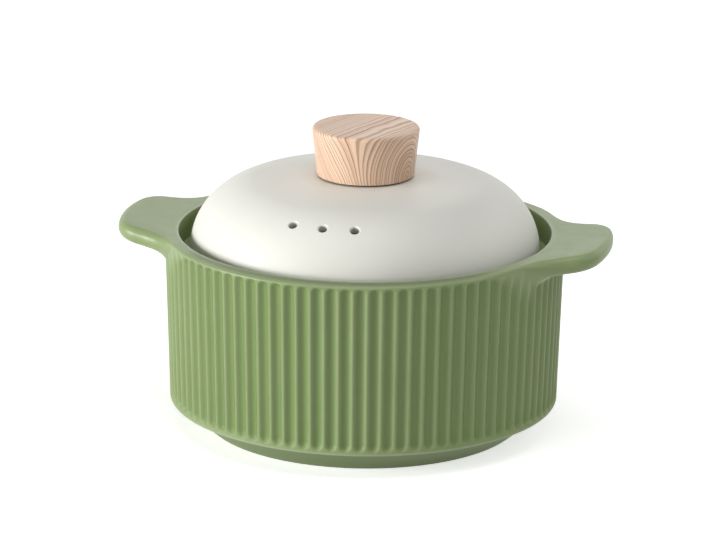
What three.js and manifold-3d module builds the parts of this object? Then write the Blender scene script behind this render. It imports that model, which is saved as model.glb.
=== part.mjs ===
// A ceramic stew pot: a fluted stoneware pot with two lug handles, a domed lid with steam holes that
// drops into a gallery inside the rim, and a turned wooden knob screwed to the lid from below.
// Millimetres, +Z up. The handles lie along X and the foot ring stands on Z = 0.
import * as THREE from 'three';
import { mergeVertices, toCreasedNormals } from 'three/addons/utils/BufferGeometryUtils.js';
import Module from 'manifold-3d';

// Clearances
const SEAT_GAP = 0.15; // between flat faces that rest on each other
const FIT_GAP = 0.3; // round a piece that sits in a bore
const SKIRT_CLEARANCE = 2.0; // round the lid's skirt, inside the gallery ledge
const LID_CLEARANCE = 5.6; // round the lid's edge, inside the rim

// Pot
const WALL_TOP_RADIUS = 100; // on the ridges between the flutes, at the rim
const WALL_DRAFT = 2.3; // how much narrower the wall is at its lower edge
const POT_HEIGHT = 99.3; // rim above the table
const LIP_WIDTH = 6.9;
const LIP_OUTER_ROUND = 3.4;
const LIP_INNER_ROUND = 1.8;
const WALL_THICKNESS = 7;
const FLOOR_THICKNESS = 6;
const FLOOR_CORNER_RADIUS = 18;
const FOOT_RADIUS = 79;
const FOOT_HEIGHT = 12.6; // where the foot meets the wall's lower edge
const FOOT_RING_WIDTH = 11;
const FOOT_RECESS = 2;
const WALL_EDGE_ROUND = 3;
const FOOT_STEP = 0.6; // how far the wall's lower edge stands out from the foot

// Gallery inside the rim, where the lid sits
const GALLERY_DEPTH = 13.4; // ledge below the rim
const LEDGE_LAP = 5; // how far the ledge reaches under the lid's edge
const GALLERY_LAND = 3.5; // height of the ledge's upright face
const GALLERY_TAPER = 12; // height of the slope below that face

// Flutes
const FLUTE_COUNT = 90;
const FLUTE_DEPTH = 1.2;
const FLUTE_TOP_GAP = 7; // plain band below the rim
const FLUTE_TOP_RUNOUT = 2.8;
const FLUTE_FOOT_RUNOUT = 7;

// Lug handles
const HANDLE_REACH = 23.7; // tip beyond the wall
const HANDLE_WIDTH = 67.4; // across its two rounded corners
const HANDLE_FLARE_RADIUS = 42; // where the sides run into the wall
const HANDLE_CORNER_RADIUS = 17;
const HANDLE_TIP_RADIUS = 88;
const HANDLE_THICKNESS = 8.8;
const HANDLE_EDGE_ROUND = 2.6;
const HANDLE_TILT = THREE.MathUtils.degToRad(7.8); // tip upwards

// Lid
const LID_EDGE_HEIGHT = 3.2; // from the seat to the widest part
const LID_EDGE_ROUND = 2.2;
const LID_WALL = 5.5;
const SHOULDER_RADIUS = 35.3;
const CROWN_RADIUS = 490;
const SKIRT_DEPTH = 6;
const SKIRT_WALL = 4.5;
const VENT_COUNT = 3;
const VENT_DIAMETER = 5.2;
const VENT_SPACING = 15.7;
const VENT_INSET = 15.5; // from the lid's edge
const VENT_MIDDLE = THREE.MathUtils.degToRad(-95); // way the row of steam holes faces

// Knob and what holds it
const KNOB_BASE_RADIUS = 24.3;
const KNOB_TOP_RADIUS = 26.9;
const KNOB_HEIGHT = 24.4;
const KNOB_TOP_ROUND = 1.6;
const KNOB_BASE_ROUND = 0.7;
const KNOB_LAND = 1.2; // flat on the dome that shows round the knob
const GASKET_THICKNESS = 0.5;
const GASKET_INSET = 0.9; // back from the knob's base edge
const GASKET_WIDTH = 7;
const SCREW_DIAMETER = 5;
const SCREW_LENGTH = 20; // under the head
const SCREW_HEAD_DIAMETER = 10;
const SCREW_HEAD_HEIGHT = 3.6;
const SCREW_HEAD_ROUND = 1.6;
const RECESS_WIDTH = 1.3;
const RECESS_LENGTH = 5;
const RECESS_DEPTH = 1.8;
const SCREW_TIP_ROOM = 1.5;
const BORE_CLEARANCE = 0.6; // lid bore round the screw
const WASHER_DIAMETER = 15;
const WASHER_THICKNESS = 1.2;
const SEAL_DIAMETER = 17;
const SEAL_THICKNESS = 1.5;
const INSERT_DIAMETER = 8;
const INSERT_LENGTH = 12;
const INSERT_FLANGE_DIAMETER = 11;
const INSERT_FLANGE_THICKNESS = 1;

// Facets
const FACETS_PER_FLUTE = 3;
const TURNED_FACETS = 72; // the pot's plain surfaces
const LID_FACETS = 72;
const KNOB_FACETS = 48;
const SMALL_FACETS = 24;
const VENT_FACETS = 16;
const CREASE_ANGLE = THREE.MathUtils.degToRad(30);
const OVERCUT = 20; // how far a cutting solid runs past what it cuts

// Places worked out from the sizes above
const mouthRadius = WALL_TOP_RADIUS - LIP_WIDTH;
const lidRadius = mouthRadius - LID_CLEARANCE;
const ledgeRadius = lidRadius - LEDGE_LAP;
const ledgeHeight = POT_HEIGHT - GALLERY_DEPTH;
const wallFootRadius = WALL_TOP_RADIUS - WALL_DRAFT;
const floorHeight = FOOT_RECESS + FLOOR_THICKNESS;

const lidSeat = ledgeHeight + SEAT_GAP;
const lidEdge = lidSeat + LID_EDGE_HEIGHT;
const shoulderCentre = lidRadius - SHOULDER_RADIUS;
const crownDrop = Math.sqrt((CROWN_RADIUS - SHOULDER_RADIUS) ** 2 - shoulderCentre ** 2);
const crownCentre = lidEdge - crownDrop;
const shoulderAngle = Math.asin(shoulderCentre / (CROWN_RADIUS - SHOULDER_RADIUS));
const landRadius = KNOB_BASE_RADIUS + KNOB_LAND;
const landHeight = crownCentre + Math.sqrt(CROWN_RADIUS ** 2 - landRadius ** 2);
const lidUnderside = landHeight - LID_WALL;

const gasketBase = landHeight + SEAT_GAP;
const knobBase = gasketBase + GASKET_THICKNESS + SEAT_GAP;
const sealTop = lidUnderside - SEAT_GAP;
const washerTop = sealTop - SEAL_THICKNESS - SEAT_GAP;
const headTop = washerTop - WASHER_THICKNESS - SEAT_GAP;
const screwTip = headTop + SCREW_LENGTH;
const insertBase = knobBase;
const knobHoleTop = Math.max(insertBase + INSERT_LENGTH, screwTip) + SCREW_TIP_ROOM;
const screwRadius = SCREW_DIAMETER / 2;
const insertBore = screwRadius + FIT_GAP;
const boreRadius = screwRadius + BORE_CLEARANCE;

// Profile helpers. A profile is a list of points in the half plane: x is the radius, y the height.
const at = (radius, height) => new THREE.Vector2(radius, height);

function arc(centreRadius, centreHeight, radius, from, to, steps) {
  const points = [];
  for (let i = 0; i <= steps; i += 1) {
    const angle = from + ((to - from) * i) / steps;
    points.push(at(centreRadius + radius * Math.cos(angle), centreHeight + radius * Math.sin(angle)));
  }
  return points;
}

// A solid of revolution about Z. Its profile runs from the bottom, up the outside, and either ends on
// the axis or closes on itself.
function revolve(profile, facets) {
  return new THREE.LatheGeometry(profile, facets).rotateX(Math.PI / 2);
}

function ring(innerRadius, outerRadius, bottom, top, facets) {
  return revolve([
    at(innerRadius, bottom),
    at(outerRadius, bottom),
    at(outerRadius, top),
    at(innerRadius, top),
    at(innerRadius, bottom),
  ], facets);
}

// Boolean helpers
const wasm = await Module();
wasm.setup();

function toSolid(geometry) {
  const bare = geometry.clone();
  bare.deleteAttribute('normal');
  bare.deleteAttribute('uv');
  const merged = mergeVertices(bare);
  const corners = merged.index.array;
  const triangles = [];
  for (let i = 0; i < corners.length; i += 3) {
    const [a, b, c] = corners.subarray(i, i + 3);
    if (a !== b && b !== c && c !== a) triangles.push(a, b, c);
  }
  return new wasm.Manifold(new wasm.Mesh({
    numProp: 3,
    vertProperties: new Float32Array(merged.attributes.position.array),
    triVerts: new Uint32Array(triangles),
  }));
}

function toGeometry(solid) {
  const mesh = solid.getMesh();
  const geometry = new THREE.BufferGeometry();
  geometry.setAttribute('position', new THREE.BufferAttribute(mesh.vertProperties, 3));
  geometry.setIndex(new THREE.BufferAttribute(mesh.triVerts, 1));
  return toCreasedNormals(geometry, CREASE_ANGLE);
}

// Pot: the wall is turned, then its flutes are pressed in column by column.
function potWall() {
  const fluteFoot = FOOT_HEIGHT + WALL_EDGE_ROUND;
  const fluteTop = POT_HEIGHT - FLUTE_TOP_GAP;
  const wallRadius = (height) => THREE.MathUtils.mapLinear(
    height, fluteFoot, fluteTop, wallFootRadius, WALL_TOP_RADIUS);
  const below = [
    at(0, FOOT_HEIGHT),
    at(wallFootRadius - WALL_EDGE_ROUND, FOOT_HEIGHT),
    at(wallFootRadius, fluteFoot),
  ];
  const fluted = [fluteFoot + FLUTE_FOOT_RUNOUT, fluteTop - FLUTE_TOP_RUNOUT]
    .map((height) => at(wallRadius(height), height));
  const lip = arc(WALL_TOP_RADIUS - LIP_OUTER_ROUND, POT_HEIGHT - LIP_OUTER_ROUND, LIP_OUTER_ROUND,
    0, Math.PI / 2, 2);
  const profile = [...below, ...fluted, at(WALL_TOP_RADIUS, fluteTop), ...lip, at(0, POT_HEIGHT)];
  const form = revolve(profile, FLUTE_COUNT * FACETS_PER_FLUTE);
  const place = form.attributes.position;
  for (let i = 0; i < place.count; i += 1) {
    const row = i % profile.length;
    if (row < below.length || row >= below.length + fluted.length) continue;
    const column = Math.floor(i / profile.length);
    const across = (column % FACETS_PER_FLUTE) / FACETS_PER_FLUTE;
    const hollow = FLUTE_DEPTH * (1 - (2 * across - 1) ** 2);
    const radius = Math.hypot(place.getX(i), place.getY(i));
    place.setX(i, place.getX(i) * (1 - hollow / radius));
    place.setY(i, place.getY(i) * (1 - hollow / radius));
  }
  return toSolid(form);
}

// Foot: a cone that stands on a ring and runs up inside the wall.
function potFoot() {
  const ringInside = FOOT_RADIUS - FOOT_RING_WIDTH;
  const coneTop = wallFootRadius - WALL_EDGE_ROUND - FOOT_STEP;
  return toSolid(revolve([
    at(0, FOOT_RECESS),
    at(ringInside, FOOT_RECESS),
    at(ringInside, 0),
    at(FOOT_RADIUS, 0),
    at(coneTop, FOOT_HEIGHT),
    at(coneTop, FOOT_HEIGHT + WALL_EDGE_ROUND),
    at(0, FOOT_HEIGHT + WALL_EDGE_ROUND),
  ], TURNED_FACETS));
}

function potCavity() {
  const innerFoot = wallFootRadius - WALL_THICKNESS;
  const taperFoot = ledgeHeight - GALLERY_LAND - GALLERY_TAPER;
  const innerTop = WALL_TOP_RADIUS - WALL_THICKNESS;
  const lip = arc(mouthRadius + LIP_INNER_ROUND, POT_HEIGHT - LIP_INNER_ROUND, LIP_INNER_ROUND,
    Math.PI, Math.PI / 2, 3);
  return toSolid(revolve([
    at(0, floorHeight),
    ...arc(innerFoot - FLOOR_CORNER_RADIUS, floorHeight + FLOOR_CORNER_RADIUS, FLOOR_CORNER_RADIUS,
      -Math.PI / 2, 0, 5),
    at(innerTop, taperFoot),
    at(ledgeRadius, ledgeHeight - GALLERY_LAND),
    at(ledgeRadius, ledgeHeight),
    at(mouthRadius, ledgeHeight),
    ...lip,
    at(mouthRadius + LIP_INNER_ROUND, POT_HEIGHT + OVERCUT),
    at(0, POT_HEIGHT + OVERCUT),
  ], TURNED_FACETS));
}

// Plan of a handle, with the pot's axis at the origin: half the tip, a corner and a flare that runs
// into the wall, mirrored across the handle. Each arc leaves the last one smoothly, and the root
// reaches through the lip.
function handlePlan() {
  const tipCentre = at(WALL_TOP_RADIUS + HANDLE_REACH - HANDLE_TIP_RADIUS, 0);
  const cornerSide = HANDLE_WIDTH / 2 - HANDLE_CORNER_RADIUS;
  const cornerAngle = Math.asin(cornerSide / (HANDLE_TIP_RADIUS - HANDLE_CORNER_RADIUS));
  const corner = at(cornerSide / Math.tan(cornerAngle), cornerSide).add(tipCentre);
  const fromAxis = WALL_TOP_RADIUS + HANDLE_FLARE_RADIUS;
  const fromCorner = HANDLE_CORNER_RADIUS + HANDLE_FLARE_RADIUS;
  const apart = corner.length();
  const opening = Math.acos((fromAxis ** 2 + apart ** 2 - fromCorner ** 2) / (2 * fromAxis * apart));
  const flareAngle = corner.angle() + opening;
  const flare = at(fromAxis * Math.cos(flareAngle), fromAxis * Math.sin(flareAngle));
  const sideAngle = flare.clone().sub(corner).angle();
  const rootRadius = mouthRadius - LIP_WIDTH;
  const half = [
    ...arc(tipCentre.x, tipCentre.y, HANDLE_TIP_RADIUS, 0, cornerAngle, 4),
    ...arc(corner.x, corner.y, HANDLE_CORNER_RADIUS, cornerAngle, sideAngle, 5).slice(1),
    ...arc(flare.x, flare.y, HANDLE_FLARE_RADIUS, Math.PI + sideAngle, Math.PI + flareAngle, 7).slice(1),
    at(rootRadius * Math.cos(flareAngle), rootRadius * Math.sin(flareAngle)),
  ];
  const mirrored = half.slice(1).reverse().map((point) => at(point.x, -point.y));
  return new THREE.Shape([...mirrored, ...half]);
}

function handle(side) {
  const form = new THREE.ExtrudeGeometry(handlePlan(), {
    depth: HANDLE_THICKNESS - 2 * HANDLE_EDGE_ROUND,
    bevelThickness: HANDLE_EDGE_ROUND,
    bevelSize: HANDLE_EDGE_ROUND,
    bevelOffset: -HANDLE_EDGE_ROUND,
    bevelSegments: 3,
  });
  const hinge = WALL_TOP_RADIUS - LIP_OUTER_ROUND;
  form.translate(-hinge, 0, HANDLE_EDGE_ROUND - HANDLE_THICKNESS);
  form.rotateY(-HANDLE_TILT);
  form.translate(hinge, 0, POT_HEIGHT);
  form.rotateZ(side > 0 ? 0 : Math.PI);
  return toSolid(form);
}

function potBody() {
  const outside = potWall().add(potFoot()).add(handle(1)).add(handle(-1));
  return toGeometry(outside.subtract(potCavity()));
}

// Lid: a crown arc and a shoulder arc over a flat seat, with a skirt that centres it in the gallery.
function lid() {
  const skirtRadius = ledgeRadius - SKIRT_CLEARANCE;
  const skirtFoot = lidSeat - SKIRT_DEPTH;
  const hollowRadius = skirtRadius - SKIRT_WALL;
  const innerShoulder = SHOULDER_RADIUS - LID_WALL;
  const innerCrown = CROWN_RADIUS - LID_WALL;
  const hollowAngle = Math.acos((hollowRadius - shoulderCentre) / innerShoulder);
  const shoulderTop = Math.PI / 2 - shoulderAngle;
  const crownAngle = (radius, crown) => Math.acos(radius / crown);
  const innerLand = Math.sqrt(innerCrown ** 2 - (lidUnderside - crownCentre) ** 2);
  const body = toSolid(revolve([
    at(0, lidUnderside),
    ...arc(0, crownCentre, innerCrown, crownAngle(innerLand, innerCrown), shoulderTop, 2),
    ...arc(shoulderCentre, lidEdge, innerShoulder, shoulderTop, hollowAngle, 4).slice(1),
    at(hollowRadius, skirtFoot),
    at(skirtRadius, skirtFoot),
    at(skirtRadius, lidSeat),
    ...arc(lidRadius - LID_EDGE_ROUND, lidSeat + LID_EDGE_ROUND, LID_EDGE_ROUND, -Math.PI / 2, 0, 2),
    ...arc(shoulderCentre, lidEdge, SHOULDER_RADIUS, 0, shoulderTop, 6),
    ...arc(0, crownCentre, CROWN_RADIUS, shoulderTop, crownAngle(landRadius, CROWN_RADIUS), 2).slice(1),
    at(0, landHeight),
  ], LID_FACETS));
  const bore = toSolid(revolve([
    at(0, lidUnderside - OVERCUT),
    at(boreRadius, lidUnderside - OVERCUT),
    at(boreRadius, landHeight + OVERCUT),
    at(0, landHeight + OVERCUT),
  ], SMALL_FACETS));
  return toGeometry(steamHoles().reduce((left, hole) => left.subtract(hole), body.subtract(bore)));
}

// Steam holes: a row along the shoulder, each square to the dome.
function steamHoles() {
  const ventRadius = lidRadius - VENT_INSET;
  const lean = Math.asin((ventRadius - shoulderCentre) / SHOULDER_RADIUS);
  const height = lidEdge + SHOULDER_RADIUS * Math.cos(lean);
  const reach = LID_WALL + OVERCUT / 2;
  const holes = [];
  for (let i = 0; i < VENT_COUNT; i += 1) {
    const turn = VENT_MIDDLE + ((i - (VENT_COUNT - 1) / 2) * VENT_SPACING) / ventRadius;
    const hole = new THREE.CylinderGeometry(VENT_DIAMETER / 2, VENT_DIAMETER / 2, 2 * reach, VENT_FACETS)
      .rotateX(Math.PI / 2)
      .rotateY(lean)
      .translate(ventRadius, 0, height)
      .rotateZ(turn);
    holes.push(toSolid(hole));
  }
  return holes;
}

// Knob: a turned disc, wider at the top, with a blind hole for its insert.
function knob() {
  const top = knobBase + KNOB_HEIGHT;
  const flangeHole = INSERT_FLANGE_DIAMETER / 2 + FIT_GAP;
  const flangeTop = insertBase + INSERT_FLANGE_THICKNESS + FIT_GAP;
  const insertHole = INSERT_DIAMETER / 2 + FIT_GAP;
  return revolve([
    at(0, knobHoleTop),
    at(insertHole, knobHoleTop),
    at(insertHole, flangeTop),
    at(flangeHole, flangeTop),
    at(flangeHole, knobBase),
    ...arc(KNOB_BASE_RADIUS - KNOB_BASE_ROUND, knobBase + KNOB_BASE_ROUND, KNOB_BASE_ROUND,
      -Math.PI / 2, 0, 2),
    ...arc(KNOB_TOP_RADIUS - KNOB_TOP_ROUND, top - KNOB_TOP_ROUND, KNOB_TOP_ROUND, 0, Math.PI / 2, 3),
    at(0, top),
  ], KNOB_FACETS);
}

function gasket() {
  const outer = KNOB_BASE_RADIUS - GASKET_INSET;
  return ring(outer - GASKET_WIDTH, outer, gasketBase, gasketBase + GASKET_THICKNESS, KNOB_FACETS);
}

function insert() {
  return revolve([
    at(insertBore, insertBase),
    at(INSERT_FLANGE_DIAMETER / 2, insertBase),
    at(INSERT_FLANGE_DIAMETER / 2, insertBase + INSERT_FLANGE_THICKNESS),
    at(INSERT_DIAMETER / 2, insertBase + INSERT_FLANGE_THICKNESS),
    at(INSERT_DIAMETER / 2, insertBase + INSERT_LENGTH),
    at(insertBore, insertBase + INSERT_LENGTH),
    at(insertBore, insertBase),
  ], SMALL_FACETS);
}

// Screw: a pan head with a cross recess, pointing up through the lid into the insert.
function screw() {
  const headRadius = SCREW_HEAD_DIAMETER / 2;
  const headFoot = headTop - SCREW_HEAD_HEIGHT;
  const body = toSolid(revolve([
    at(0, headFoot),
    ...arc(headRadius - SCREW_HEAD_ROUND, headFoot + SCREW_HEAD_ROUND, SCREW_HEAD_ROUND,
      -Math.PI / 2, 0, 3),
    at(headRadius, headTop),
    at(screwRadius, headTop),
    at(screwRadius, screwTip - screwRadius / 2),
    at(screwRadius / 2, screwTip),
    at(0, screwTip),
  ], SMALL_FACETS));
  const slot = (x, y) => toSolid(new THREE.BoxGeometry(x, y, 2 * RECESS_DEPTH).translate(0, 0, headFoot));
  return toGeometry(body
    .subtract(slot(RECESS_LENGTH, RECESS_WIDTH))
    .subtract(slot(RECESS_WIDTH, RECESS_LENGTH)));
}

function washer() {
  return ring(boreRadius, WASHER_DIAMETER / 2, washerTop - WASHER_THICKNESS, washerTop, SMALL_FACETS);
}

function seal() {
  return ring(boreRadius, SEAL_DIAMETER / 2, sealTop - SEAL_THICKNESS, sealTop, SMALL_FACETS);
}

// Materials
const finish = (color, roughness, metalness = 0) => new THREE.MeshStandardMaterial({
  color, roughness, metalness,
});
const GREEN_GLAZE = 0x7d9160;
const CREAM_GLAZE = 0xe6e3d8;
const PALE_WOOD = 0xd9b48f;
const GREY_SILICONE = 0x6b6660;
const STEEL = 0xb9bbbd;
const BRASS = 0xc2a15a;

function piece(name, geometry, material) {
  const mesh = new THREE.Mesh(geometry, material);
  mesh.name = name;
  return mesh;
}

const knobAssembly = new THREE.Group();
knobAssembly.add(
  piece('lid_knob', knob(), finish(PALE_WOOD, 0.55)),
  piece('knob_gasket', gasket(), finish(GREY_SILICONE, 0.7)),
  piece('knob_insert', insert(), finish(BRASS, 0.35, 1)),
  piece('knob_screw', screw(), finish(STEEL, 0.3, 1)),
  piece('knob_washer', washer(), finish(STEEL, 0.35, 1)),
  piece('screw_seal', seal(), finish(GREY_SILICONE, 0.7)),
);

const lidAssembly = new THREE.Group();
lidAssembly.add(piece('lid', lid(), finish(CREAM_GLAZE, 0.45)), knobAssembly);

const stewPot = new THREE.Group();
stewPot.name = 'stew_pot';
stewPot.add(piece('pot_body', potBody(), finish(GREEN_GLAZE, 0.45)), lidAssembly);

export default stewPot;
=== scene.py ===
"""A fluted ceramic stew pot with lug handles, a domed lid and a turned wooden knob,
dressed over its CAD frame."""
import math

import bpy
import numpy as np
from mathutils import Matrix, Vector

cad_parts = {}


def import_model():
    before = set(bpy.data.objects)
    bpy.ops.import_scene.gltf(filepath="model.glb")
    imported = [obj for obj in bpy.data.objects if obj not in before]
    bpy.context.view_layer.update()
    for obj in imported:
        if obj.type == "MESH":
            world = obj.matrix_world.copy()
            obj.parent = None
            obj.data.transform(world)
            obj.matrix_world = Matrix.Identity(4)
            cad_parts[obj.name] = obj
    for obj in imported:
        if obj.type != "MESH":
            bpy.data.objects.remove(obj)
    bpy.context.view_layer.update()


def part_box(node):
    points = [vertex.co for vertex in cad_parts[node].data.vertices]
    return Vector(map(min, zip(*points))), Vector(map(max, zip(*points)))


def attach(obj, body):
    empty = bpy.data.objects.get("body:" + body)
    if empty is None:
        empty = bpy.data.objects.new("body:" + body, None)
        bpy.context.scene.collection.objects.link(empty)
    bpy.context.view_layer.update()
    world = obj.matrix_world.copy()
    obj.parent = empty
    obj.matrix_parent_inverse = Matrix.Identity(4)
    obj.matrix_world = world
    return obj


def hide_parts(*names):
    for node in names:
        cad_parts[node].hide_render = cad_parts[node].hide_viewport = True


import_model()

# Sizes are in millimetres, angles in radians, and heights run from the plane that the pot stands on.
MM = 0.001
UPWARD = np.array([0, 0, 1])


def node_box(name):
    """Lowest and highest corner of a CAD node, in millimetres."""
    return [np.array(corner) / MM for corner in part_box(name)]


# Pot
WALL_TOP_RADIUS = node_box("pot_body")[1][1]
WALL_DRAFT = 2.3
POT_HEIGHT = 99.3
LIP_WIDTH = 6.9
LIP_OUTER_ROUND = 1.0
LIP_INNER_ROUND = 1.0
LIP_SLOPE = math.radians(10)
LIP_SLOPE_BLEND = 0.3
WALL_THICKNESS = 7.0
FLOOR_HEIGHT = 8.0
FLOOR_CORNER_ROUND = 18.0
LEDGE_RADIUS = 82.5
LEDGE_HEIGHT = 85.9
LEDGE_LAND = 3.5
LEDGE_ROUND = 1.0
LEDGE_CORNER_ROUND = 0.8
LEDGE_TAPER = 12.0
LEDGE_TAPER_ROUND = 6.0
FOOT_RADIUS = 79.0
FOOT_ROUND = 1.2
FOOT_RING_WIDTH = 11.0
FOOT_RECESS = 2.0
FOOT_RECESS_ROUND = 0.8
FOOT_HEIGHT = 12.6
FOOT_INSET = 3.6
FOOT_INSET_ROUND = 0.5
WALL_EDGE_ROUND = 1.2

# Flutes
FLUTE_COUNT = 90
FLUTE_TURN = math.radians(0.375)
FLUTE_DEPTH = 1.7
FLUTE_SHARE = 0.72
FLUTE_TOP_GAP = 0.5
FLUTE_TOP_LENGTH = 2.8
FLUTE_FOOT_GAP = 0.3
FLUTE_FOOT_LENGTH = 4.0
FLUTE_ROOT_FROM = math.radians(46)
FLUTE_ROOT_TO = math.radians(26)
FLUTE_ROOT_CLEAR = math.radians(16)
FLUTE_ROOT_END = math.radians(24)
FLUTE_ROOT_DROP = 26.0
FLUTE_ROOT_POWER = 1.6
FLUTE_CLEAR_FROM = 0.02
FLUTE_CLEAR = 0.9

# Pale edges, where the glaze breaks thin and along the lip's inner edge is also a painted highlight, and
# painted shade on the lip beside its inner edge
# Painted shade on the lip: how far out from the mouth it starts, is full and ends, how far below the lip's
# top it reaches, and its share on the handles
LIP_SHADE_FROM = 1.5
LIP_SHADE_FULL = 2.2
LIP_SHADE_END = 7.4
LIP_SHADE_DEPTH = 1.0
LIP_SHADE_ON_HANDLE = 0.15
# Pale edges: along the lip's inner edge they are thin glaze and a painted highlight
THIN_AND_HIGHLIGHT_INNER = 0.95
THIN_AND_HIGHLIGHT_INNER_OUT = 0.45
THIN_OUTER = 1.2
THIN_OUTER_SHARE = 0.1
THIN_FOOT = 1.1
THIN_FOOT_RISE = 0.5
THIN_FOOT_SHARE = 0.6

# Handles
HANDLE_TIP = node_box("pot_body")[1][0]
HANDLE_WIDTH = 67.4
HANDLE_FLARE_RADIUS = 42.0
HANDLE_CORNER_RADIUS = 17.0
HANDLE_TIP_RADIUS = 88.0
HANDLE_THICKNESS = 8.8
HANDLE_EDGE_ROUND = 4.0
HANDLE_TILT = math.radians(7.8)
HANDLE_BEND = 3.0
HANDLE_FILLET = 6.2
FILLET_FROM = 0.4
FILLET_FULL = 0.8
EDGE_SHARE = 0.49
ROOT_THICKNESS = LIP_OUTER_ROUND / EDGE_SHARE
ROOT_THIN_FROM = 35.0
ROOT_BLEND = 5.0

# Rows and columns of the pot's mesh. A slack keeps a rounding's end off the next row.
COLUMNS_PER_FLUTE = 16
WALL_LOW_REACH = 10.0
WALL_LOW_ROWS = 16
WALL_MIDDLE_ROWS = 14
WALL_HIGH_REACH = 26.0
WALL_HIGH_ROWS = 36
WALL_EDGE_SLACK = 0.1
RIM_REACH = 5.0
UNDERSIDE_ROWS = 16
UNDERSIDE_FILLET_SHARE = 1 / 3
EDGE_ROWS = 18
TOP_ROWS = 16
LIP_INNER_SLACK = 0.05
ROW_STEP = 2.5
ARC_STEPS = 6
SURFACE_STEPS = 8
SURFACE_NUDGE = 0.01
SURFACE_LEAST_SLOPE = 0.5
OUTLINE_ROOM = 2.0
OUTLINE_STEPS = 30

# Lid
LID_RADIUS = node_box("lid")[1][0]
LID_LAND_HEIGHT = node_box("lid")[1][2]
SKIRT_FOOT = node_box("lid")[0][2]
SKIRT_DEPTH = 6.0
SKIRT_RADIUS = 80.5
SKIRT_WALL = 4.5
SKIRT_FOOT_ROUND = 1.2
SKIRT_SEAT_ROUND = 0.6
SKIRT_SLACK = 1.0
LID_WALL = 5.5
LID_EDGE_HEIGHT = 3.2
LID_EDGE_ROUND = 2.2
LID_EDGE_SLACK = 0.2
SHOULDER_RADIUS = 35.3
CROWN_RADIUS = 490.0
LAND_RADIUS = 25.5
LID_BORE = 3.1
VENT_COUNT = 3
VENT_RADIUS = 2.2
VENT_LIP_BELOW = 0.4
VENT_LIP_ABOVE = 1.0
VENT_LIP_INSIDE = 1.0
# The turn of a steam hole's lip where the bore's darker grey begins
VENT_GREY_FROM = math.radians(55)
VENT_SPACING = 15.7
VENT_INSET = 15.5
VENT_MIDDLE = math.radians(-95)

# Rows and columns of the lid's mesh. A block of quads round each steam hole makes way for rings.
LID_COLUMNS = 720
SHOULDER_ROWS = 80
CROWN_ROWS = 24
VENT_BLOCK = 8
VENT_COLLAR = (0.25, 0.5, 0.75, 0.9)
VENT_COLLAR_INSIDE = (0.25, 0.5, 0.75)
VENT_LIP_RINGS = 9
VENT_LIP_RINGS_INSIDE = 6

# Knob and what holds it
KNOB_BASE, KNOB_TOP = (corner[2] for corner in node_box("lid_knob"))
KNOB_TOP_RADIUS = node_box("lid_knob")[1][0]
KNOB_BASE_RADIUS = 24.3
KNOB_TOP_ROUND = 1.6
KNOB_BASE_ROUND = 0.7
INSERT_HOLE = 4.3
INSERT_HOLE_ROOM = 1.5
HOLE_ROUND = 0.2
FLANGE_HOLE = 5.8
FLANGE_HOLE_DEPTH = 1.3
FLANGE_HOLE_ROUND = 0.1
KNOB_COLUMNS = 192
GASKET_BORE = 16.4
GASKET_ROUND = 0.15
SEAL_ROUND = 0.3
WASHER_ROUND = 0.2
WASHER_COLUMNS = 96

# Screw and insert
SCREW_FOOT, SCREW_TIP = (corner[2] for corner in node_box("knob_screw"))
SCREW_RADIUS = 2.5
SCREW_CHAMFER = 1.25
SCREW_HEAD_RADIUS = node_box("knob_screw")[1][0]
SCREW_HEAD_HEIGHT = 3.6
SCREW_HEAD_TOP = SCREW_FOOT + SCREW_HEAD_HEIGHT
SCREW_HEAD_ROUND = 1.6
SCREW_EDGE = 0.15
RECESS_LENGTH = 5.0
RECESS_WIDTH = 1.3
RECESS_DEPTH = 1.8
RECESS_END_SLOPE = 1.0
RECESS_SIDE_SLOPE = 0.25
THREAD_PITCH = 0.8
THREAD_DEPTH = 0.42
THREAD_FLAT = 0.125
THREAD_RUN_OUT = 1.0
INSERT_BASE, INSERT_TOP = (corner[2] for corner in node_box("knob_insert"))
INSERT_FLANGE_RADIUS = node_box("knob_insert")[1][0]
INSERT_FLANGE = 1.0
INSERT_RADIUS = 4.0
INSERT_BORE = 2.8
KNURL_TEETH = 36
KNURL_DEPTH = 0.25
KNURL_RUN_OUT = 1.0
HARDWARE_STEP = 0.1
HARDWARE_COLUMNS = 144

# Camera, as fitted to the photograph's outlines
IMAGE_WIDTH = 716
FOCAL_PIXELS = 3668.9
SENSOR_WIDTH = 36.0
CAMERA_DISTANCE = 1764.5
CAMERA_HEIGHT = 600.5
CAMERA_TURN = math.radians(11.4)
CAMERA_PITCH = math.radians(16.51)
CAMERA_YAW = math.radians(-0.107)
CAMERA_ROLL = math.radians(0.572)
CAMERA_REACH = 100000


def smooth(low, high, value):
    """0 at low, 1 at high and an S curve between them."""
    share = np.clip((value - low) / (high - low), 0, 1)
    return share * share * (3 - 2 * share)


def unit(vector):
    return vector / np.linalg.norm(vector)


def direction(azimuth, elevation):
    """Unit vector at an azimuth from +X and an elevation."""
    level = math.cos(elevation)
    return np.array([level * math.cos(azimuth), level * math.sin(azimuth), math.sin(elevation)])


def axis_distance(points):
    return np.hypot(points[..., 0], points[..., 1])


# Profiles. A profile is a list of (radius, height) points that runs up the outside.
def arc(centre, radius, start, end, steps):
    angles = np.linspace(start, end, steps + 1)
    return np.array(centre) + radius * np.column_stack([np.cos(angles), np.sin(angles)])


def stepped(points, step):
    """The same profile, with its long straight runs cut into steps."""
    made = [points[0]]
    for start, end in zip(points[:-1], points[1:]):
        count = max(1, math.ceil(np.linalg.norm(end - start) / step))
        made += [start + (end - start) * k / count for k in range(1, count + 1)]
    return np.array(made)


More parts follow.
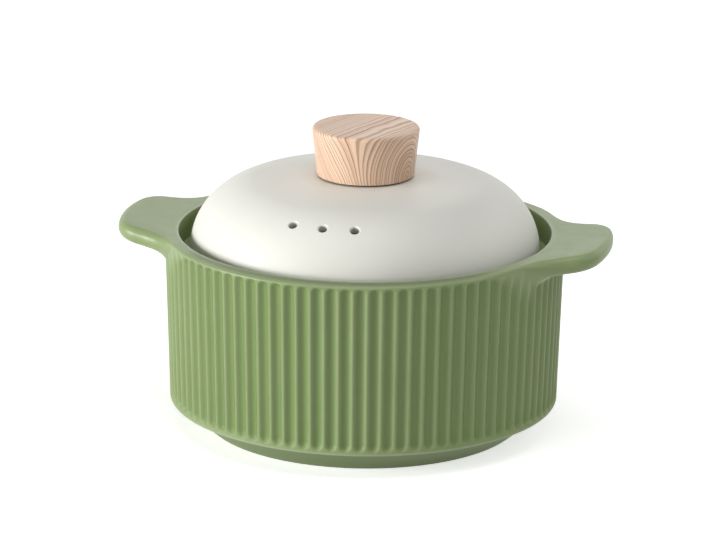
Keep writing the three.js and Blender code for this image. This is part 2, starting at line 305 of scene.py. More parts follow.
def rounded(corners, step=ROW_STEP):
    """A profile through corners (radius, height, rounding), with an arc at each rounded corner."""
    places = [np.array(corner[:2], float) for corner in corners]
    points = []
    for k, (place, rounding) in enumerate(zip(places, (corner[2] for corner in corners))):
        if rounding == 0:
            points.append(place)
            continue
        back = unit(places[k - 1] - place)
        ahead = unit(places[(k + 1) % len(places)] - place)
        half = math.acos(back @ ahead) / 2
        centre = place + unit(back + ahead) * rounding / math.sin(half)
        first = place + back * rounding / math.tan(half) - centre
        last = place + ahead * rounding / math.tan(half) - centre
        turn = math.pi - 2 * half
        for share in np.linspace(0, 1, ARC_STEPS + 1):
            mix = first * math.sin((1 - share) * turn) + last * math.sin(share * turn)
            points.append(centre + mix / math.sin(turn))
    return stepped(points, step)


# Meshes. Rows are closed rings of points, given from the bottom up the outside.
def ring_quads(rows, columns, closed=False):
    row = np.arange(rows if closed else rows - 1)[:, None]
    column = np.arange(columns)[None, :]
    above = (row + 1) % rows
    beside = (column + 1) % columns
    corners = [(row, column), (row, beside), (above, beside), (above, column)]
    return np.stack(np.broadcast_arrays(*(up * columns + along for up, along in corners)), -1)


def add_piece(replaced, points, faces, body, slot, material):
    """A piece that stands for a CAD node."""
    name = f"{replaced}_dressed"
    mesh = bpy.data.meshes.new(name)
    mesh.from_pydata((np.asarray(points) * MM).tolist(), [], faces)
    mesh.polygons.foreach_set("use_smooth", np.ones(len(mesh.polygons), bool))
    mesh.materials.append(material)
    mesh.update()
    piece = bpy.data.objects.new(name, mesh)
    bpy.context.scene.collection.objects.link(piece)
    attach(piece, body)
    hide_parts(replaced)
    return piece


def carry(piece, name, values):
    """Gives each point of a piece a value that its material reads."""
    attribute = piece.data.attributes.new(name, "FLOAT", "POINT")
    attribute.data.foreach_set("value", values.astype(np.float32))


def turn_points(profile, columns):
    """Rows of points from turning a profile about Z."""
    angles = np.arange(columns) * 2 * math.pi / columns
    radius = profile[:, :1]
    height = np.broadcast_to(profile[:, 1:], (len(profile), columns))
    return np.stack([radius * np.cos(angles), radius * np.sin(angles), height], -1)


def close_ends(rows):
    """Points and faces of stacked rows whose first and last row are single points on the axis."""
    count, columns = rows.shape[:2]
    inner = rows[1:-1].reshape(-1, 3)
    points = np.vstack([inner, rows[0, :1], rows[-1, :1]])
    faces = ring_quads(count - 2, columns).reshape(-1, 4).tolist()
    low, high = len(inner), len(inner) + 1
    last = (count - 3) * columns
    for column in range(columns):
        beside = (column + 1) % columns
        faces.append([low, beside, column])
        faces.append([high, last + column, last + beside])
    return points, faces


def close_round(rows):
    """Points and faces of stacked rows whose last row meets the first."""
    return rows.reshape(-1, 3), ring_quads(*rows.shape[:2], closed=True).reshape(-1, 4).tolist()


# Pot: flutes and glaze
FLUTE_PITCH = 2 * math.pi * WALL_TOP_RADIUS / FLUTE_COUNT
FLUTE_HALF = FLUTE_PITCH / 2
FLUTE_HOLLOW = FLUTE_HALF * FLUTE_SHARE


def flute_depth(across, up):
    """Depth at a distance across from a flute's middle, where up runs from 0 at its end to 1 in its body.
    A hollow and a rounded ridge meet smoothly, and the hollow closes in a round end."""
    away = np.minimum(np.hypot(across, FLUTE_HALF * (1 - up)), FLUTE_HALF)
    ridge = FLUTE_HALF - FLUTE_HOLLOW
    hollow = 1 - away ** 2 / (FLUTE_HOLLOW * FLUTE_HALF)
    shoulder = (FLUTE_HALF - away) ** 2 / (ridge * FLUTE_HALF)
    return FLUTE_DEPTH * np.where(away < FLUTE_HOLLOW, hollow, shoulder)


def wall_radius(height):
    foot = FOOT_HEIGHT + WALL_EDGE_ROUND
    share = np.clip((height - foot) / (POT_HEIGHT - LIP_OUTER_ROUND - foot), 0, 1)
    return WALL_TOP_RADIUS - WALL_DRAFT * (1 - share)


def angle_from_handle(angle):
    """How far an angle lies from the nearer handle."""
    return np.abs((angle + math.pi / 2) % math.pi - math.pi / 2)


def off_handle(angle):
    """0 where a handle leaves the lip and 1 beside it."""
    return smooth(FLARE_ANGLE, FLARE_ANGLE + LIP_SLOPE_BLEND, angle_from_handle(angle))


def lip_drop(radius, angle):
    """How far the lip's top, which slopes down outward beside the handles, lies below its inner edge."""
    past = np.maximum(0, radius - WALL_TOP_RADIUS + LIP_WIDTH - LIP_INNER_ROUND)
    return math.tan(LIP_SLOPE) * past * off_handle(angle)


def lip_edge(angle):
    """Height of the lip's outer edge."""
    return POT_HEIGHT - lip_drop(WALL_TOP_RADIUS, angle)


def flutes_at(angle, points):
    """Depth of the flutes at points of the plain outside. Toward a handle's root they fade out lower, and
    they stop where a handle leaves the wall."""
    across = (((angle - FLUTE_TURN) * FLUTE_COUNT / (2 * math.pi) + 0.5) % 1 - 0.5) * FLUTE_PITCH
    height = points[..., 2]
    off_wall = axis_distance(points) - wall_radius(height)
    foot = FOOT_HEIGHT + WALL_EDGE_ROUND + FLUTE_FOOT_GAP
    from_handle = angle_from_handle(angle)
    near_root = np.clip((FLUTE_ROOT_FROM - from_handle) / (FLUTE_ROOT_FROM - FLUTE_ROOT_TO), 0, 1)
    beside_root = smooth(FLUTE_ROOT_CLEAR, FLUTE_ROOT_END, from_handle)
    root_drop = FLUTE_ROOT_DROP * near_root ** FLUTE_ROOT_POWER * beside_root
    top = lip_edge(angle) - FLUTE_TOP_GAP
    end = np.clip((top - height) / FLUTE_TOP_LENGTH, 0, 1)
    start = np.clip((height - foot) / FLUTE_FOOT_LENGTH, 0, 1)
    fade = smooth(0, np.maximum(root_drop, FLUTE_TOP_GAP), top - height)
    fade = fade * smooth(FLUTE_CLEAR, FLUTE_CLEAR_FROM, off_wall)
    return flute_depth(across, np.minimum(start, end)) * fade


def thin_glaze_and_highlight(angle, points):
    """How pale the pot's edges are, from 0 to 1: thin glaze over the lip's outer edge, a painted highlight
    as well as thin glaze along its inner edge, and a pale line along the wall's foot.
    """
    radius = axis_distance(points)

    def near(ring_radius, ring_height, width):
        away = np.hypot(radius - ring_radius, points[..., 2] - ring_height)
        return 1 - smooth(0, width, away)

    # Along the lip's inner edge the pale ring is thin glaze and a painted highlight
    inner = near(WALL_TOP_RADIUS - LIP_WIDTH + THIN_AND_HIGHLIGHT_INNER_OUT, POT_HEIGHT, THIN_AND_HIGHLIGHT_INNER)
    outer = near(WALL_TOP_RADIUS, lip_edge(angle), THIN_OUTER) * off_handle(angle)
    foot = near(WALL_TOP_RADIUS - WALL_DRAFT, FOOT_HEIGHT + THIN_FOOT_RISE, THIN_FOOT)
    return np.maximum(np.maximum(inner, THIN_OUTER_SHARE * outer), THIN_FOOT_SHARE * foot)


def lip_painted_shade(angle, points):
    """How much painted shade lies on the lip beside its inner edge, from 0 to 1. On the handles it is
    weaker.
    """
    out = axis_distance(points) - WALL_TOP_RADIUS + LIP_WIDTH
    on_top = smooth(POT_HEIGHT - 2 * LIP_SHADE_DEPTH, POT_HEIGHT - LIP_SHADE_DEPTH, points[..., 2])
    kept = LIP_SHADE_ON_HANDLE + (1 - LIP_SHADE_ON_HANDLE) * off_handle(angle)
    return smooth(LIP_SHADE_FROM, LIP_SHADE_FULL, out) * (1 - smooth(LIP_SHADE_FULL, LIP_SHADE_END, out)) * on_top * kept


# Pot: handles
TIP_CENTRE = np.array([HANDLE_TIP - HANDLE_TIP_RADIUS, 0])
CORNER_SIDE = HANDLE_WIDTH / 2 - HANDLE_CORNER_RADIUS
CORNER_ANGLE = math.asin(CORNER_SIDE / (HANDLE_TIP_RADIUS - HANDLE_CORNER_RADIUS))
CORNER = TIP_CENTRE + np.array([CORNER_SIDE / math.tan(CORNER_ANGLE), CORNER_SIDE])


def flare_centre():
    """Centre of the arc that leaves the corner smoothly and runs smoothly into the wall, and its angle."""
    from_axis = WALL_TOP_RADIUS + HANDLE_FLARE_RADIUS
    from_corner = HANDLE_CORNER_RADIUS + HANDLE_FLARE_RADIUS
    apart = np.linalg.norm(CORNER)
    opening = math.acos((from_axis ** 2 + apart ** 2 - from_corner ** 2) / (2 * from_axis * apart))
    angle = math.atan2(CORNER[1], CORNER[0]) + opening
    return from_axis * np.array([math.cos(angle), math.sin(angle)]), angle


FLARE, FLARE_ANGLE = flare_centre()
ROOT_END = WALL_TOP_RADIUS * math.sin(FLARE_ANGLE)


def plan_distance(x, y):
    """Signed distance in plan to the outline of the handle on +X."""
    y = np.abs(y)
    to_tip = np.hypot(x - TIP_CENTRE[0], y - TIP_CENTRE[1]) - HANDLE_TIP_RADIUS
    to_corner = np.hypot(x - CORNER[0], y - CORNER[1]) - HANDLE_CORNER_RADIUS
    to_flare = HANDLE_FLARE_RADIUS - np.hypot(x - FLARE[0], y - FLARE[1])
    side = CORNER - TIP_CENTRE
    past_tip = side[0] * (y - CORNER[1]) - side[1] * (x - CORNER[0]) > 0
    side = FLARE - CORNER
    past_corner = side[0] * (y - CORNER[1]) - side[1] * (x - CORNER[0]) > 0
    distance = np.where(past_tip, np.where(past_corner, to_flare, to_corner), to_tip)
    past_root = y * math.cos(FLARE_ANGLE) - x * math.sin(FLARE_ANGLE)
    return np.maximum(distance, past_root)


def handle_lift(x):
    """How far the handle's top lies above the lip: it bends up smoothly from the lip's outer round."""
    past = (np.abs(x) - WALL_TOP_RADIUS + LIP_OUTER_ROUND) / HANDLE_BEND
    return math.tan(HANDLE_TILT) * HANDLE_BEND * np.logaddexp(0, past)


def rounded_overlap(a, b, rounding):
    """Distance to where two distances are both negative, with a rounded edge."""
    a = a + rounding
    b = b + rounding
    return np.minimum(np.maximum(a, b), 0) + np.hypot(np.maximum(a, 0), np.maximum(b, 0)) - rounding


def outside_distance(points):
    """Signed distance to the pot's plain outside: the wall with its lip, and the handles filleted below."""
    x, y, z = np.moveaxis(points, -1, 0)
    radius = np.hypot(x, y)
    above_lip = (z - POT_HEIGHT + lip_drop(radius, np.arctan2(y, x))) * math.cos(LIP_SLOPE)
    wall = rounded_overlap(radius - wall_radius(z), above_lip, LIP_OUTER_ROUND)
    below_top = POT_HEIGHT + handle_lift(x) - z
    thin = smooth(ROOT_THIN_FROM, ROOT_END, np.abs(y))
    thickness = HANDLE_THICKNESS + (ROOT_THICKNESS - HANDLE_THICKNESS) * thin
    middle = np.abs(below_top - thickness / 2) - thickness / 2
    plan = plan_distance(np.abs(x), y)
    edge = np.minimum(HANDLE_EDGE_ROUND, EDGE_SHARE * thickness)
    handle = rounded_overlap(plan, middle, edge)
    fillet = HANDLE_FILLET * (1 - thin) * smooth(FILLET_FROM, FILLET_FULL, below_top / thickness)
    joined = np.hypot(np.maximum(fillet - wall, 0), np.maximum(fillet - handle, 0))
    return np.maximum(fillet, np.minimum(wall, handle)) - joined


def settle(points):
    """The points, moved onto the pot's plain outside."""
    nudges = SURFACE_NUDGE * np.eye(3)
    for _ in range(SURFACE_STEPS):
        distance = outside_distance(points)
        slope = np.stack([
            outside_distance(points + nudge) - outside_distance(points - nudge)
            for nudge in nudges
        ], -1) / (2 * SURFACE_NUDGE)
        steepness = np.maximum((slope ** 2).sum(-1), SURFACE_LEAST_SLOPE ** 2)
        points = points - (distance / steepness)[..., None] * slope
    return points


def handle_outline(angle):
    """Radius of the handles' outline at each angle, or the wall's where there is no handle."""
    low = np.full_like(angle, WALL_TOP_RADIUS)
    high = np.full_like(angle, HANDLE_TIP + OUTLINE_ROOM)
    for _ in range(OUTLINE_STEPS):
        radius = (low + high) / 2
        inside = plan_distance(np.abs(radius * np.cos(angle)), radius * np.sin(angle)) < 0
        low = np.where(inside, radius, low)
        high = np.where(inside, high, radius)
    return low


def pot_rim(angle):
    """Rows of (radius, height) from the top of the plain wall, out round the handles, to the lip's top."""
    reach = handle_outline(angle)
    on_handle = smooth(0, ROOT_BLEND, reach - WALL_TOP_RADIUS)
    lift = handle_lift(reach * np.cos(angle)) * on_handle
    lip_top = WALL_TOP_RADIUS - LIP_OUTER_ROUND
    edge_height = lip_edge(angle)
    lip_inner = WALL_TOP_RADIUS - LIP_WIDTH + LIP_INNER_ROUND
    rows = []
    for share in np.linspace(0, 1, UNDERSIDE_ROWS, endpoint=False):
        up_fillet = min(1, share / UNDERSIDE_FILLET_SHARE)
        out = max(0, (share - UNDERSIDE_FILLET_SHARE) / (1 - UNDERSIDE_FILLET_SHARE))
        plain = edge_height - LIP_OUTER_ROUND - RIM_REACH * (1 - share)
        under = POT_HEIGHT - HANDLE_THICKNESS + lift * share - HANDLE_FILLET * (1 - up_fillet)
        past_wall = (reach - HANDLE_EDGE_ROUND - WALL_TOP_RADIUS) * out
        rows.append((WALL_TOP_RADIUS + past_wall * on_handle, plain + (under - plain) * on_handle))
    for share in np.linspace(0, 1, EDGE_ROWS, endpoint=False):
        turn = math.pi / 2 * share
        plain = (lip_top + LIP_OUTER_ROUND * math.cos(turn),
                 edge_height - LIP_OUTER_ROUND + LIP_OUTER_ROUND * math.sin(turn))
        turn = math.pi * (share - 0.5)
        edge = (reach - HANDLE_EDGE_ROUND * (1 - math.cos(turn)),
                POT_HEIGHT + lift - HANDLE_THICKNESS / 2 * (1 - math.sin(turn)))
        rows.append(tuple(p + (e - p) * on_handle for p, e in zip(plain, edge)))
    for share in np.linspace(0, 1, TOP_ROWS):
        outer = lip_top + (reach - HANDLE_EDGE_ROUND - lip_top) * on_handle
        radius = outer + (lip_inner - outer) * share
        lift = handle_lift(radius * np.cos(angle)) * on_handle
        rows.append((radius, POT_HEIGHT + lift - lip_drop(radius, angle) * (1 - on_handle)))
    return rows


def pot_points():
    """The pot's rows, from the middle of its underside, up the outside and down to the middle of its floor,
    with the share of a flute's depth, how pale the glaze is over edges (thin glaze, with a painted highlight
    along the lip's inner edge), and the painted shade on the lip, at each point."""
    columns = FLUTE_COUNT * COLUMNS_PER_FLUTE
    angle = np.arange(columns) * 2 * math.pi / columns
    wall_foot = WALL_TOP_RADIUS - WALL_DRAFT
    ring_inside = FOOT_RADIUS - FOOT_RING_WIDTH
    cone_top = wall_foot - FOOT_INSET
    base = rounded([
        (0, FOOT_RECESS, 0),
        (ring_inside, FOOT_RECESS, FOOT_RECESS_ROUND),
        (ring_inside, 0, FOOT_RECESS_ROUND),
        (FOOT_RADIUS, 0, FOOT_ROUND),
        (cone_top, FOOT_HEIGHT, FOOT_INSET_ROUND),
        (wall_foot, FOOT_HEIGHT, WALL_EDGE_ROUND - WALL_EDGE_SLACK),
        (wall_foot, FOOT_HEIGHT + WALL_EDGE_ROUND, 0),
    ])
    mouth = WALL_TOP_RADIUS - LIP_WIDTH
    taper_foot = LEDGE_HEIGHT - LEDGE_LAND - LEDGE_TAPER
    inside = rounded([
        (mouth + LIP_INNER_ROUND, POT_HEIGHT, 0),
        (mouth, POT_HEIGHT, LIP_INNER_ROUND - LIP_INNER_SLACK),
        (mouth, LEDGE_HEIGHT, LEDGE_CORNER_ROUND),
        (LEDGE_RADIUS, LEDGE_HEIGHT, LEDGE_ROUND),
        (LEDGE_RADIUS, LEDGE_HEIGHT - LEDGE_LAND, LEDGE_ROUND),
        (WALL_TOP_RADIUS - WALL_THICKNESS, taper_foot, LEDGE_TAPER_ROUND),
        (wall_foot - WALL_THICKNESS, FLOOR_HEIGHT, FLOOR_CORNER_ROUND),
        (0, FLOOR_HEIGHT, 0),
    ])
    rim = pot_rim(angle)
    rim_foot = rim[0][1]
    wall_start = FOOT_HEIGHT + WALL_EDGE_ROUND
    low_end = wall_start + WALL_LOW_REACH
    high_start = POT_HEIGHT - WALL_HIGH_REACH
    plain_foot = POT_HEIGHT - LIP_OUTER_ROUND - RIM_REACH
    rows = [(np.full(columns, r), np.full(columns, z)) for r, z in base[:-1]]
    first_wall = len(rows)
    for height in np.concatenate([
        np.linspace(wall_start, low_end, WALL_LOW_ROWS, endpoint=False),
        np.linspace(low_end, high_start, WALL_MIDDLE_ROWS, endpoint=False),
        np.linspace(high_start, plain_foot, WALL_HIGH_ROWS, endpoint=False),
    ]):
        share = max(0, (height - high_start) / (plain_foot - high_start))
        level = height + (rim_foot - plain_foot) * share
        rows.append((wall_radius(level), level))
    first_rim = len(rows) - WALL_HIGH_ROWS
    rows += rim
    last_rim = len(rows)
    rows += [(np.full(columns, r), np.full(columns, z)) for r, z in inside[1:]]
    radius = np.array([r for r, _ in rows])
    height = np.array([z for _, z in rows])
    points = np.stack([radius * np.cos(angle), radius * np.sin(angle), height], -1)
    points[first_rim:last_rim] = settle(points[first_rim:last_rim])
    thin = thin_glaze_and_highlight(angle, points)
    lip = lip_painted_shade(angle, points)
    depth = np.zeros(radius.shape)
    wall = slice(first_wall, last_rim)
    depth[wall] = flutes_at(angle, points[wall])
    points[..., 0] -= depth * np.cos(angle)
    points[..., 1] -= depth * np.sin(angle)
    return points, depth / FLUTE_DEPTH, thin, lip


def pot(material):
    rows, pooled, thin, lip = pot_points()
    piece = add_piece("pot_body", *close_ends(rows), "pot", "green_glaze", material)
    # Besides the flutes' share, each point carries how pale its edge is, with a painted highlight along the
    # lip's inner edge, and the painted shade on the lip beside that edge
    for name, values in (("pooled", pooled), ("thin", thin), ("lip_painted_shade", lip)):
        carry(piece, name, np.concatenate([values[1:-1].ravel(), [0, 0]]))


# Lid
LID_SEAT = SKIRT_FOOT + SKIRT_DEPTH
LID_EDGE = LID_SEAT + LID_EDGE_HEIGHT
SHOULDER_CENTRE = np.array([LID_RADIUS - SHOULDER_RADIUS, LID_EDGE])
CENTRES_APART = CROWN_RADIUS - SHOULDER_RADIUS
CROWN_CENTRE = np.array([0, LID_EDGE - math.sqrt(CENTRES_APART ** 2 - SHOULDER_CENTRE[0] ** 2)])
SHOULDER_TOP = math.pi / 2 - math.asin(SHOULDER_CENTRE[0] / CENTRES_APART)


def on_dome(points, depth):
    """The nearest points on the lid's shoulder, at a depth below its outside."""
    radius = axis_distance(points)
    out = radius - SHOULDER_CENTRE[0]
    up = points[..., 2] - SHOULDER_CENTRE[1]
    scale = (SHOULDER_RADIUS - depth) / np.hypot(out, up)
    placed = SHOULDER_CENTRE[0] + out * scale
    return np.stack([
        points[..., 0] * placed / radius,
        points[..., 1] * placed / radius,
        SHOULDER_CENTRE[1] + up * scale,
    ], -1)


def lid_profile():
    """The lid's profile, closed on itself, and for each step of the shoulder its row outside and inside."""
    angles = np.linspace(0, SHOULDER_TOP, SHOULDER_ROWS + 1)
    inner_shoulder = SHOULDER_RADIUS - LID_WALL
    hollow = SKIRT_RADIUS - SKIRT_WALL
    first_inside = np.searchsorted(angles, math.acos((hollow - SHOULDER_CENTRE[0]) / inner_shoulder))
    around = np.column_stack([np.cos(angles), np.sin(angles)])
    underside = LID_LAND_HEIGHT - LID_WALL
    land_inside = math.sqrt((CROWN_RADIUS - LID_WALL) ** 2 - (underside - CROWN_CENTRE[1]) ** 2)

    def crown(radius, land):
        return arc(CROWN_CENTRE, radius, SHOULDER_TOP, math.acos(land / radius), CROWN_ROWS)

    skirt = rounded([
        (hollow, SHOULDER_CENTRE[1] + inner_shoulder * math.sin(angles[first_inside]) - SKIRT_SLACK, 0),
        (hollow, SKIRT_FOOT, SKIRT_FOOT_ROUND),
        (SKIRT_RADIUS, SKIRT_FOOT, SKIRT_FOOT_ROUND),
        (SKIRT_RADIUS, LID_SEAT, SKIRT_SEAT_ROUND),
        (LID_RADIUS, LID_SEAT, LID_EDGE_ROUND),
        (LID_RADIUS, LID_EDGE - LID_EDGE_SLACK, 0),
    ])
    land = rounded([
        (LAND_RADIUS, LID_LAND_HEIGHT, 0),
        (LID_BORE, LID_LAND_HEIGHT, 0),
        (LID_BORE, underside, 0),
        (land_inside, underside, 0),
    ])
    outside = SHOULDER_CENTRE + SHOULDER_RADIUS * around
    inside = SHOULDER_CENTRE + inner_shoulder * around[first_inside:]
    runs = [skirt, outside, crown(CROWN_RADIUS, LAND_RADIUS)[1:], land[1:],
            crown(CROWN_RADIUS - LID_WALL, land_inside)[-2:0:-1], inside[::-1]]
    starts = np.cumsum([0] + [len(run) for run in runs])
    outside_row = starts[1] + np.arange(len(angles))
    inside_row = starts[-1] - 1 - (np.arange(len(angles)) - first_inside)
    return np.vstack(runs), angles, outside_row, inside_row


def vent_rings(centre, axis, outer, inner):
    """Rings of points for one steam hole, from the loop that is left open outside to the one inside, and
    how far each is turned to the darker grey of the bore."""
    beside = unit(np.cross(UPWARD, axis))
    above = np.cross(axis, beside)
    offset = outer - centre
    around = np.arctan2(offset @ above, offset @ beside)
    direction = np.cos(around)[:, None] * beside + np.sin(around)[:, None] * above

    def ring(radius, depth, rise):
        spots = centre + np.broadcast_to(radius, around.shape)[:, None] * direction
        return on_dome(spots, depth) + np.broadcast_to(rise, around.shape)[:, None] * axis

    def spread(loop):
        away = loop - centre
        return np.hypot(away @ beside, away @ above)

    rings = []
    bore_grey = []
    lip = VENT_LIP_BELOW + (VENT_LIP_ABOVE - VENT_LIP_BELOW) * (1 + np.sin(around)) / 2
    wide = spread(outer)
    for share in VENT_COLLAR:
        rings.append(ring(wide + (VENT_RADIUS + lip - wide) * share, 0, 0))
        bore_grey.append(0)
    for turn in np.linspace(0, math.pi / 2, VENT_LIP_RINGS):
        rings.append(ring(VENT_RADIUS + lip * (1 - math.sin(turn)), 0, -lip * (1 - math.cos(turn))))
        bore_grey.append(smooth(VENT_GREY_FROM, math.pi / 2, turn))
    for turn in np.linspace(math.pi / 2, 0, VENT_LIP_RINGS_INSIDE):
        rise = VENT_LIP_INSIDE * (1 - math.cos(turn))
        rings.append(ring(VENT_RADIUS + VENT_LIP_INSIDE * (1 - math.sin(turn)), LID_WALL, rise))
        bore_grey.append(smooth(VENT_GREY_FROM, math.pi / 2, turn))
    wide = spread(inner)
    mouth = VENT_RADIUS + VENT_LIP_INSIDE
    for share in VENT_COLLAR_INSIDE:
        rings.append(ring(mouth + (wide - mouth) * share, LID_WALL, 0))
        bore_grey.append(0)
    return rings, bore_grey


def lid(material):
    profile, angles, outside_row, inside_row = lid_profile()
    grid = turn_points(profile, LID_COLUMNS)
    points = [grid.reshape(-1, 3)]
    bore_grey = [np.zeros(len(points[0]))]
    count = points[0].shape[0]
    quads = ring_quads(len(profile), LID_COLUMNS, closed=True)
    keep = np.ones(quads.shape[:2], bool)
    tunnels = []
    reach = LID_RADIUS - VENT_INSET
    lean = math.acos((reach - SHOULDER_CENTRE[0]) / SHOULDER_RADIUS)
    level = int(np.argmin(np.abs(angles - lean)))
    for k in range(VENT_COUNT):
        turn = VENT_MIDDLE + (k - (VENT_COUNT - 1) / 2) * VENT_SPACING / reach
        column = round(turn / (2 * math.pi) * LID_COLUMNS)
        facing = direction(turn, 0)
        axis = direction(turn, lean)
        centre = SHOULDER_CENTRE[0] * facing + SHOULDER_CENTRE[1] * UPWARD + SHOULDER_RADIUS * axis
        side = np.arange(-VENT_BLOCK, VENT_BLOCK)
        steps = np.concatenate([side * 0 - VENT_BLOCK, side, side * 0 + VENT_BLOCK, -side])
        turns = np.concatenate([side, side * 0 + VENT_BLOCK, -side, side * 0 - VENT_BLOCK])
        columns = (column + turns) % LID_COLUMNS
        outer = outside_row[level + steps] * LID_COLUMNS + columns
        inner = inside_row[level + steps] * LID_COLUMNS + columns
        open_columns = (column + side) % LID_COLUMNS
        keep[np.ix_(outside_row[level + side], open_columns)] = False
        keep[np.ix_(inside_row[level + side] - 1, open_columns)] = False
        rings, ring_bore_grey = vent_rings(centre, axis, points[0][outer], points[0][inner])
        loops = [outer]
        for ring, value in zip(rings, ring_bore_grey):
            points.append(ring)
            bore_grey.append(np.full(len(ring), value))
            loops.append(count + np.arange(len(ring)))
            count += len(ring)
        loops.append(inner)
        for near, far in zip(loops[:-1], loops[1:]):
            tunnels.append(np.stack([near, np.roll(near, -1), np.roll(far, -1), far], -1))
    faces = np.vstack([quads[keep], *tunnels]).tolist()
    piece = add_piece("lid", np.vstack(points), faces, "lid_assembly", "cream_glaze", material)
    carry(piece, "bore_grey", np.concatenate(bore_grey))


# Knob and hardware
def knob(material):
    hole_top = INSERT_TOP + INSERT_HOLE_ROOM
    flange_top = KNOB_BASE + FLANGE_HOLE_DEPTH
    rows = turn_points(rounded([
        (0, hole_top, 0),
        (INSERT_HOLE, hole_top, HOLE_ROUND),
        (INSERT_HOLE, flange_top, 0),
        (FLANGE_HOLE, flange_top, FLANGE_HOLE_ROUND),
        (FLANGE_HOLE, KNOB_BASE, HOLE_ROUND),
        (KNOB_BASE_RADIUS, KNOB_BASE, KNOB_BASE_ROUND),
        (KNOB_TOP_RADIUS, KNOB_TOP, KNOB_TOP_ROUND),
        (0, KNOB_TOP, 0),
    ]), KNOB_COLUMNS)
    add_piece("lid_knob", *close_ends(rows), "lid_assembly", "pale_wood", material)


def washer_ring(node, bore, rounding, slot, material):
    low, high = node_box(node)
    rows = turn_points(rounded([
        (bore, low[2], rounding),
        (high[0], low[2], rounding),
        (high[0], high[2], rounding),
        (bore, high[2], rounding),
    ]), WASHER_COLUMNS)
    add_piece(node, *close_round(rows), "lid_assembly", slot, material)


def thread_depth(angle, height, low, high):
    """Depth of a thread that is cut between two heights and runs out at both."""
    turn = (height / THREAD_PITCH - angle / (2 * math.pi)) % 1
    groove = np.clip((1 - abs(2 * turn - 1)) * (1 + 2 * THREAD_FLAT) - THREAD_FLAT, 0, 1)
    ends = smooth(low, low + THREAD_RUN_OUT, height) * smooth(high, high - THREAD_RUN_OUT, height)
    return THREAD_DEPTH * groove * ends


def recess_depth(points):
    """Depth of the cross recess in the screw's head, at points of its flat face."""
    sides = np.sort(abs(points[..., :2]), axis=-1)
    within = smooth(RECESS_LENGTH / 2, RECESS_LENGTH / 2 - RECESS_END_SLOPE, sides[..., 1])
    within *= smooth(RECESS_WIDTH / 2, RECESS_WIDTH / 2 - RECESS_SIDE_SLOPE, sides[..., 0])
    return RECESS_DEPTH * within * (points[..., 2] == SCREW_FOOT)


def widened(rows, more):
    """Rows of points moved outward by more. Points on the axis stay there."""
    radius = axis_distance(rows)
    scale = 1 + more / np.maximum(radius, SCREW_EDGE)
    return np.stack([rows[..., 0] * scale, rows[..., 1] * scale, rows[..., 2]], -1)


def screw(material):
    rows = turn_points(rounded([
        (0, SCREW_FOOT, 0),
        (SCREW_HEAD_RADIUS, SCREW_FOOT, SCREW_HEAD_ROUND),
        (SCREW_HEAD_RADIUS, SCREW_HEAD_TOP, SCREW_EDGE),
        (SCREW_RADIUS, SCREW_HEAD_TOP, SCREW_EDGE),
        (SCREW_RADIUS, SCREW_TIP - SCREW_CHAMFER, SCREW_EDGE),
        (SCREW_RADIUS - SCREW_CHAMFER, SCREW_TIP, SCREW_EDGE),
        (0, SCREW_TIP, 0),
    ], HARDWARE_STEP), HARDWARE_COLUMNS)
    angle = np.arctan2(rows[..., 1], rows[..., 0])
    rows = widened(rows, -thread_depth(angle, rows[..., 2], SCREW_HEAD_TOP, SCREW_TIP - SCREW_CHAMFER))
    rows[..., 2] += recess_depth(rows)
    add_piece("knob_screw", *close_ends(rows), "lid_assembly", "stainless_steel", material)


def insert(material):
    flange_top = INSERT_BASE + INSERT_FLANGE
    rows = turn_points(rounded([
        (INSERT_BORE, INSERT_BASE, SCREW_EDGE),
        (INSERT_FLANGE_RADIUS, INSERT_BASE, SCREW_EDGE),
        (INSERT_FLANGE_RADIUS, flange_top, SCREW_EDGE),
        (INSERT_RADIUS, flange_top, SCREW_EDGE),
        (INSERT_RADIUS, INSERT_TOP, SCREW_EDGE),
        (INSERT_BORE, INSERT_TOP, SCREW_EDGE),
    ], HARDWARE_STEP), HARDWARE_COLUMNS)
    radius = axis_distance(rows)
    angle = np.arctan2(rows[..., 1], rows[..., 0])
    height = rows[..., 2]
    in_bore = radius < INSERT_BORE + SCREW_EDGE / 2
    thread = thread_depth(angle, height, INSERT_BASE + SCREW_EDGE, INSERT_TOP - SCREW_EDGE) * in_bore
    on_side = radius > INSERT_RADIUS - SCREW_EDGE / 2
    tooth = abs(2 * ((angle * KNURL_TEETH / (2 * math.pi)) % 1) - 1)
    ends = smooth(flange_top, flange_top + KNURL_RUN_OUT, height)
    ends *= smooth(INSERT_TOP, INSERT_TOP - KNURL_RUN_OUT, height)
    rows = widened(rows, thread - KNURL_DEPTH * tooth * ends * on_side)
    add_piece("knob_insert", *close_round(rows), "lid_assembly", "brass", material)


# Materials. An edge is the part of a noise's range that its patches fade in over.
NOISE_DETAIL = 3.0
PLAIN_DETAIL = 2.0
NOISE_ROUGHNESS = 0.55
SOFT_EDGE = (0.3, 0.7)
CLEAR_EDGE = (0.35, 0.65)
MIX_SHARE, MIX_FIRST, MIX_SECOND = 0, 6, 7
MIX_RESULT = 2
WHITE = (1, 1, 1, 1)


